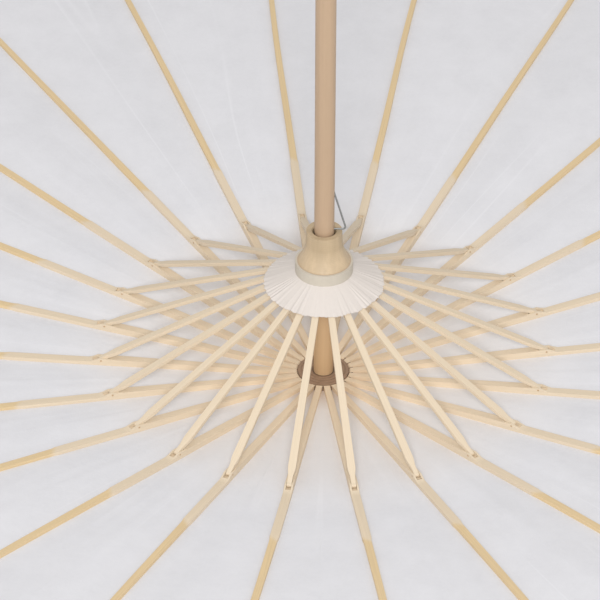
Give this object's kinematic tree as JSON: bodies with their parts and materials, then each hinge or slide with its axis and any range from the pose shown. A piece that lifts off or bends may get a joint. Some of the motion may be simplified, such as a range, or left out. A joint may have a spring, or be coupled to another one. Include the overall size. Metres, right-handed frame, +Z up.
{
  "type": "paper parasol",
  "caption": "Hand-held paper parasol with a split-bamboo frame, wooden pole, sliding runner, pleated paper collar and wire catch, shown open.",
  "frame": {"origin": "on the pole's axis at its lower end, where it is held", "axes": "+Z up along the pole to the head and canopy; -X towards the first rib and the wire catch under it"},
  "size_m": [0.8383, 0.8356, 0.527],
  "materials": {
    "pole_wood": "satin, straight grained",
    "head_wood": "turned, stained dark brown",
    "runner_wood": "turned, plain",
    "cap_wood": "turned, stained dark brown",
    "bamboo": "split bamboo, pared pale inside and tan outside",
    "canopy_paper": "white oiled paper with a fine woven texture",
    "collar_paper": "white pleated paper",
    "binding_wire": "drawn wire",
    "catch_wire": "drawn spring wire"
  },
  "bodies": {
    "pole_and_head": {"pole": "pole_wood", "head": "head_wood", "head_pin": "bamboo", "head_wire": "binding_wire", "cap": "cap_wood", "canopy": "canopy_paper"},
    "runner": {"runner": "runner_wood", "runner_wire": "binding_wire", "collar": "collar_paper"},
    "catch": {"catch": "catch_wire"},
    "rib_01": {"rib_01": "bamboo"},
    "stretcher_01": {"stretcher_01": "bamboo"},
    "rib_02": {"rib_02": "bamboo"},
    "stretcher_02": {"stretcher_02": "bamboo"},
    "rib_03": {"rib_03": "bamboo"},
    "stretcher_03": {"stretcher_03": "bamboo"},
    "rib_04": {"rib_04": "bamboo"},
    "stretcher_04": {"stretcher_04": "bamboo"},
    "rib_05": {"rib_05": "bamboo"},
    "stretcher_05": {"stretcher_05": "bamboo"},
    "rib_06": {"rib_06": "bamboo"},
    "stretcher_06": {"stretcher_06": "bamboo"},
    "rib_07": {"rib_07": "bamboo"},
    "stretcher_07": {"stretcher_07": "bamboo"},
    "rib_08": {"rib_08": "bamboo"},
    "stretcher_08": {"stretcher_08": "bamboo"},
    "rib_09": {"rib_09": "bamboo"},
    "stretcher_09": {"stretcher_09": "bamboo"},
    "rib_10": {"rib_10": "bamboo"},
    "stretcher_10": {"stretcher_10": "bamboo"},
    "rib_11": {"rib_11": "bamboo"},
    "stretcher_11": {"stretcher_11": "bamboo"},
    "rib_12": {"rib_12": "bamboo"},
    "stretcher_12": {"stretcher_12": "bamboo"},
    "rib_13": {"rib_13": "bamboo"},
    "stretcher_13": {"stretcher_13": "bamboo"},
    "rib_14": {"rib_14": "bamboo"},
    "stretcher_14": {"stretcher_14": "bamboo"},
    "rib_15": {"rib_15": "bamboo"},
    "stretcher_15": {"stretcher_15": "bamboo"},
    "rib_16": {"rib_16": "bamboo"},
    "stretcher_16": {"stretcher_16": "bamboo"},
    "rib_17": {"rib_17": "bamboo"},
    "stretcher_17": {"stretcher_17": "bamboo"},
    "rib_18": {"rib_18": "bamboo"},
    "stretcher_18": {"stretcher_18": "bamboo"},
    "rib_19": {"rib_19": "bamboo"},
    "stretcher_19": {"stretcher_19": "bamboo"},
    "rib_20": {"rib_20": "bamboo"},
    "stretcher_20": {"stretcher_20": "bamboo"},
    "rib_21": {"rib_21": "bamboo"},
    "stretcher_21": {"stretcher_21": "bamboo"},
    "rib_22": {"rib_22": "bamboo"},
    "stretcher_22": {"stretcher_22": "bamboo"},
    "rib_23": {"rib_23": "bamboo"},
    "stretcher_23": {"stretcher_23": "bamboo"}
  },
  "joints": [
    {"name": "runner_slide", "type": "slide", "parent": "pole_and_head", "child": "runner", "axis": [0, 0, 1], "range_m": [-0.1769, 0], "deforming": ["canopy", "collar", "catch"]},
    {"name": "catch_press", "type": "hinge", "parent": "pole_and_head", "child": "catch", "pos_m": [-0.005, 0, 0.36618], "axis": [0, 1, 0], "range_deg": [0, 13.5], "stiffness_Nm_per_rad": 0.4},
    {"name": "rib_hinge_01", "type": "hinge", "parent": "pole_and_head", "child": "rib_01", "pos_m": [-0.01739, 0, 0.501], "axis": [0, -1, 0], "range_deg": [0, 78.39]},
    {"name": "stretcher_hinge_01", "type": "hinge", "parent": "rib_01", "child": "stretcher_01", "pos_m": [-0.13579, 0, 0.48138], "axis": [0, -1, 0], "range_deg": [-141.07, 0]},
    {"name": "rib_hinge_02", "type": "hinge", "parent": "pole_and_head", "child": "rib_02", "pos_m": [-0.01667, -0.00494, 0.501], "axis": [0.2838, -0.9589, 0], "range_deg": [0, 78.39]},
    {"name": "stretcher_hinge_02", "type": "hinge", "parent": "rib_02", "child": "stretcher_02", "pos_m": [-0.1302, -0.03854, 0.48138], "axis": [0.2838, -0.9589, 0], "range_deg": [-141.07, 0]},
    {"name": "rib_hinge_03", "type": "hinge", "parent": "pole_and_head", "child": "rib_03", "pos_m": [-0.0146, -0.00945, 0.501], "axis": [0.5434, -0.8395, 0], "range_deg": [0, 78.39]},
    {"name": "stretcher_hinge_03", "type": "hinge", "parent": "rib_03", "child": "stretcher_03", "pos_m": [-0.11399, -0.07379, 0.48138], "axis": [0.5434, -0.8395, 0], "range_deg": [-141.07, 0]},
    {"name": "rib_hinge_04", "type": "hinge", "parent": "pole_and_head", "child": "rib_04", "pos_m": [-0.01136, -0.01317, 0.501], "axis": [0.7572, -0.6531, 0], "range_deg": [0, 78.39]},
    {"name": "stretcher_hinge_04", "type": "hinge", "parent": "rib_04", "child": "stretcher_04", "pos_m": [-0.08869, -0.10283, 0.48138], "axis": [0.7572, -0.6531, 0], "range_deg": [-141.07, 0]},
    {"name": "rib_hinge_05", "type": "hinge", "parent": "pole_and_head", "child": "rib_05", "pos_m": [-0.00725, -0.0158, 0.501], "axis": [0.909, -0.4169, 0], "range_deg": [0, 78.39]},
    {"name": "stretcher_hinge_05", "type": "hinge", "parent": "rib_05", "child": "stretcher_05", "pos_m": [-0.05661, -0.12343, 0.48138], "axis": [0.909, -0.4169, 0], "range_deg": [-141.07, 0]},
    {"name": "rib_hinge_06", "type": "hinge", "parent": "pole_and_head", "child": "rib_06", "pos_m": [-0.00263, -0.01719, 0.501], "axis": [0.9885, -0.1513, 0], "range_deg": [0, 78.39]},
    {"name": "stretcher_hinge_06", "type": "hinge", "parent": "rib_06", "child": "stretcher_06", "pos_m": [-0.02055, -0.13422, 0.48138], "axis": [0.9885, -0.1513, 0], "range_deg": [-141.07, 0]},
    {"name": "rib_hinge_07", "type": "hinge", "parent": "pole_and_head", "child": "rib_07", "pos_m": [0.00212, -0.01726, 0.501], "axis": [0.9925, 0.122, 0], "range_deg": [0, 78.39]},
    {"name": "stretcher_hinge_07", "type": "hinge", "parent": "rib_07", "child": "stretcher_07", "pos_m": [0.01656, -0.13477, 0.48138], "axis": [0.9925, 0.122, 0], "range_deg": [-141.07, 0]},
    {"name": "rib_hinge_08", "type": "hinge", "parent": "pole_and_head", "child": "rib_08", "pos_m": [0.00665, -0.01607, 0.501], "axis": [0.924, 0.3825, 0], "range_deg": [0, 78.39]},
    {"name": "stretcher_hinge_08", "type": "hinge", "parent": "rib_08", "child": "stretcher_08", "pos_m": [0.05193, -0.12546, 0.48138], "axis": [0.924, 0.3825, 0], "range_deg": [-141.07, 0]},
    {"name": "rib_hinge_09", "type": "hinge", "parent": "pole_and_head", "child": "rib_09", "pos_m": [0.01064, -0.01375, 0.501], "axis": [0.7907, 0.6122, 0], "range_deg": [0, 78.39]},
    {"name": "stretcher_hinge_09", "type": "hinge", "parent": "rib_09", "child": "stretcher_09", "pos_m": [0.08313, -0.10737, 0.48138], "axis": [0.7907, 0.6122, 0], "range_deg": [-141.07, 0]},
    {"name": "rib_hinge_10", "type": "hinge", "parent": "pole_and_head", "child": "rib_10", "pos_m": [0.01385, -0.01051, 0.501], "axis": [0.6042, 0.7968, 0], "range_deg": [0, 78.39]},
    {"name": "stretcher_hinge_10", "type": "hinge", "parent": "rib_10", "child": "stretcher_10", "pos_m": [0.1082, -0.08205, 0.48138], "axis": [0.6042, 0.7968, 0], "range_deg": [-141.07, 0]},
    {"name": "rib_hinge_11", "type": "hinge", "parent": "pole_and_head", "child": "rib_11", "pos_m": [0.01609, -0.00658, 0.501], "axis": [0.3785, 0.9256, 0], "range_deg": [0, 78.39]},
    {"name": "stretcher_hinge_11", "type": "hinge", "parent": "rib_11", "child": "stretcher_11", "pos_m": [0.12568, -0.0514, 0.48138], "axis": [0.3785, 0.9256, 0], "range_deg": [-141.07, 0]},
    {"name": "rib_hinge_12", "type": "hinge", "parent": "pole_and_head", "child": "rib_12", "pos_m": [0.01724, -0.00224, 0.501], "axis": [0.1289, 0.9917, 0], "range_deg": [0, 78.39]},
    {"name": "stretcher_hinge_12", "type": "hinge", "parent": "rib_12", "child": "stretcher_12", "pos_m": [0.13466, -0.0175, 0.48138], "axis": [0.1289, 0.9917, 0], "range_deg": [-141.07, 0]},
    {"name": "rib_hinge_13", "type": "hinge", "parent": "pole_and_head", "child": "rib_13", "pos_m": [0.01724, 0.00224, 0.501], "axis": [-0.1289, 0.9917, 0], "range_deg": [0, 78.39]},
    {"name": "stretcher_hinge_13", "type": "hinge", "parent": "rib_13", "child": "stretcher_13", "pos_m": [0.13466, 0.0175, 0.48138], "axis": [-0.1289, 0.9917, 0], "range_deg": [-141.07, 0]},
    {"name": "rib_hinge_14", "type": "hinge", "parent": "pole_and_head", "child": "rib_14", "pos_m": [0.01609, 0.00658, 0.501], "axis": [-0.3785, 0.9256, 0], "range_deg": [0, 78.39]},
    {"name": "stretcher_hinge_14", "type": "hinge", "parent": "rib_14", "child": "stretcher_14", "pos_m": [0.12568, 0.0514, 0.48138], "axis": [-0.3785, 0.9256, 0], "range_deg": [-141.07, 0]},
    {"name": "rib_hinge_15", "type": "hinge", "parent": "pole_and_head", "child": "rib_15", "pos_m": [0.01385, 0.01051, 0.501], "axis": [-0.6042, 0.7968, 0], "range_deg": [0, 78.39]},
    {"name": "stretcher_hinge_15", "type": "hinge", "parent": "rib_15", "child": "stretcher_15", "pos_m": [0.1082, 0.08205, 0.48138], "axis": [-0.6042, 0.7968, 0], "range_deg": [-141.07, 0]},
    {"name": "rib_hinge_16", "type": "hinge", "parent": "pole_and_head", "child": "rib_16", "pos_m": [0.01064, 0.01375, 0.501], "axis": [-0.7907, 0.6122, 0], "range_deg": [0, 78.39]},
    {"name": "stretcher_hinge_16", "type": "hinge", "parent": "rib_16", "child": "stretcher_16", "pos_m": [0.08313, 0.10737, 0.48138], "axis": [-0.7907, 0.6122, 0], "range_deg": [-141.07, 0]},
    {"name": "rib_hinge_17", "type": "hinge", "parent": "pole_and_head", "child": "rib_17", "pos_m": [0.00665, 0.01607, 0.501], "axis": [-0.924, 0.3825, 0], "range_deg": [0, 78.39]},
    {"name": "stretcher_hinge_17", "type": "hinge", "parent": "rib_17", "child": "stretcher_17", "pos_m": [0.05193, 0.12546, 0.48138], "axis": [-0.924, 0.3825, 0], "range_deg": [-141.07, 0]},
    {"name": "rib_hinge_18", "type": "hinge", "parent": "pole_and_head", "child": "rib_18", "pos_m": [0.00212, 0.01726, 0.501], "axis": [-0.9925, 0.122, 0], "range_deg": [0, 78.39]},
    {"name": "stretcher_hinge_18", "type": "hinge", "parent": "rib_18", "child": "stretcher_18", "pos_m": [0.01656, 0.13477, 0.48138], "axis": [-0.9925, 0.122, 0], "range_deg": [-141.07, 0]},
    {"name": "rib_hinge_19", "type": "hinge", "parent": "pole_and_head", "child": "rib_19", "pos_m": [-0.00263, 0.01719, 0.501], "axis": [-0.9885, -0.1513, 0], "range_deg": [0, 78.39]},
    {"name": "stretcher_hinge_19", "type": "hinge", "parent": "rib_19", "child": "stretcher_19", "pos_m": [-0.02055, 0.13422, 0.48138], "axis": [-0.9885, -0.1513, 0], "range_deg": [-141.07, 0]},
    {"name": "rib_hinge_20", "type": "hinge", "parent": "pole_and_head", "child": "rib_20", "pos_m": [-0.00725, 0.0158, 0.501], "axis": [-0.909, -0.4169, 0], "range_deg": [0, 78.39]},
    {"name": "stretcher_hinge_20", "type": "hinge", "parent": "rib_20", "child": "stretcher_20", "pos_m": [-0.05661, 0.12343, 0.48138], "axis": [-0.909, -0.4169, 0], "range_deg": [-141.07, 0]},
    {"name": "rib_hinge_21", "type": "hinge", "parent": "pole_and_head", "child": "rib_21", "pos_m": [-0.01136, 0.01317, 0.501], "axis": [-0.7572, -0.6531, 0], "range_deg": [0, 78.39]},
    {"name": "stretcher_hinge_21", "type": "hinge", "parent": "rib_21", "child": "stretcher_21", "pos_m": [-0.08869, 0.10283, 0.48138], "axis": [-0.7572, -0.6531, 0], "range_deg": [-141.07, 0]},
    {"name": "rib_hinge_22", "type": "hinge", "parent": "pole_and_head", "child": "rib_22", "pos_m": [-0.0146, 0.00945, 0.501], "axis": [-0.5434, -0.8395, 0], "range_deg": [0, 78.39]},
    {"name": "stretcher_hinge_22", "type": "hinge", "parent": "rib_22", "child": "stretcher_22", "pos_m": [-0.11399, 0.07379, 0.48138], "axis": [-0.5434, -0.8395, 0], "range_deg": [-141.07, 0]},
    {"name": "rib_hinge_23", "type": "hinge", "parent": "pole_and_head", "child": "rib_23", "pos_m": [-0.01667, 0.00494, 0.501], "axis": [-0.2838, -0.9589, 0], "range_deg": [0, 78.39]},
    {"name": "stretcher_hinge_23", "type": "hinge", "parent": "rib_23", "child": "stretcher_23", "pos_m": [-0.1302, 0.03854, 0.48138], "axis": [-0.2838, -0.9589, 0], "range_deg": [-141.07, 0]}
  ],
  "couplings": [
    {"joint": "rib_hinge_01", "follows": "runner_slide", "rad_per_m": -7.7343},
    {"joint": "stretcher_hinge_01", "follows": "runner_slide", "rad_per_m": 13.918},
    {"joint": "rib_hinge_02", "follows": "runner_slide", "rad_per_m": -7.7343},
    {"joint": "stretcher_hinge_02", "follows": "runner_slide", "rad_per_m": 13.918},
    {"joint": "rib_hinge_03", "follows": "runner_slide", "rad_per_m": -7.7343},
    {"joint": "stretcher_hinge_03", "follows": "runner_slide", "rad_per_m": 13.918},
    {"joint": "rib_hinge_04", "follows": "runner_slide", "rad_per_m": -7.7343},
    {"joint": "stretcher_hinge_04", "follows": "runner_slide", "rad_per_m": 13.918},
    {"joint": "rib_hinge_05", "follows": "runner_slide", "rad_per_m": -7.7343},
    {"joint": "stretcher_hinge_05", "follows": "runner_slide", "rad_per_m": 13.918},
    {"joint": "rib_hinge_06", "follows": "runner_slide", "rad_per_m": -7.7343},
    {"joint": "stretcher_hinge_06", "follows": "runner_slide", "rad_per_m": 13.918},
    {"joint": "rib_hinge_07", "follows": "runner_slide", "rad_per_m": -7.7343},
    {"joint": "stretcher_hinge_07", "follows": "runner_slide", "rad_per_m": 13.918},
    {"joint": "rib_hinge_08", "follows": "runner_slide", "rad_per_m": -7.7343},
    {"joint": "stretcher_hinge_08", "follows": "runner_slide", "rad_per_m": 13.918},
    {"joint": "rib_hinge_09", "follows": "runner_slide", "rad_per_m": -7.7343},
    {"joint": "stretcher_hinge_09", "follows": "runner_slide", "rad_per_m": 13.918},
    {"joint": "rib_hinge_10", "follows": "runner_slide", "rad_per_m": -7.7343},
    {"joint": "stretcher_hinge_10", "follows": "runner_slide", "rad_per_m": 13.918},
    {"joint": "rib_hinge_11", "follows": "runner_slide", "rad_per_m": -7.7343},
    {"joint": "stretcher_hinge_11", "follows": "runner_slide", "rad_per_m": 13.918},
    {"joint": "rib_hinge_12", "follows": "runner_slide", "rad_per_m": -7.7343},
    {"joint": "stretcher_hinge_12", "follows": "runner_slide", "rad_per_m": 13.918},
    {"joint": "rib_hinge_13", "follows": "runner_slide", "rad_per_m": -7.7343},
    {"joint": "stretcher_hinge_13", "follows": "runner_slide", "rad_per_m": 13.918},
    {"joint": "rib_hinge_14", "follows": "runner_slide", "rad_per_m": -7.7343},
    {"joint": "stretcher_hinge_14", "follows": "runner_slide", "rad_per_m": 13.918},
    {"joint": "rib_hinge_15", "follows": "runner_slide", "rad_per_m": -7.7343},
    {"joint": "stretcher_hinge_15", "follows": "runner_slide", "rad_per_m": 13.918},
    {"joint": "rib_hinge_16", "follows": "runner_slide", "rad_per_m": -7.7343},
    {"joint": "stretcher_hinge_16", "follows": "runner_slide", "rad_per_m": 13.918},
    {"joint": "rib_hinge_17", "follows": "runner_slide", "rad_per_m": -7.7343},
    {"joint": "stretcher_hinge_17", "follows": "runner_slide", "rad_per_m": 13.918},
    {"joint": "rib_hinge_18", "follows": "runner_slide", "rad_per_m": -7.7343},
    {"joint": "stretcher_hinge_18", "follows": "runner_slide", "rad_per_m": 13.918},
    {"joint": "rib_hinge_19", "follows": "runner_slide", "rad_per_m": -7.7343},
    {"joint": "stretcher_hinge_19", "follows": "runner_slide", "rad_per_m": 13.918},
    {"joint": "rib_hinge_20", "follows": "runner_slide", "rad_per_m": -7.7343},
    {"joint": "stretcher_hinge_20", "follows": "runner_slide", "rad_per_m": 13.918},
    {"joint": "rib_hinge_21", "follows": "runner_slide", "rad_per_m": -7.7343},
    {"joint": "stretcher_hinge_21", "follows": "runner_slide", "rad_per_m": 13.918},
    {"joint": "rib_hinge_22", "follows": "runner_slide", "rad_per_m": -7.7343},
    {"joint": "stretcher_hinge_22", "follows": "runner_slide", "rad_per_m": 13.918},
    {"joint": "rib_hinge_23", "follows": "runner_slide", "rad_per_m": -7.7343},
    {"joint": "stretcher_hinge_23", "follows": "runner_slide", "rad_per_m": 13.918}
  ]
}
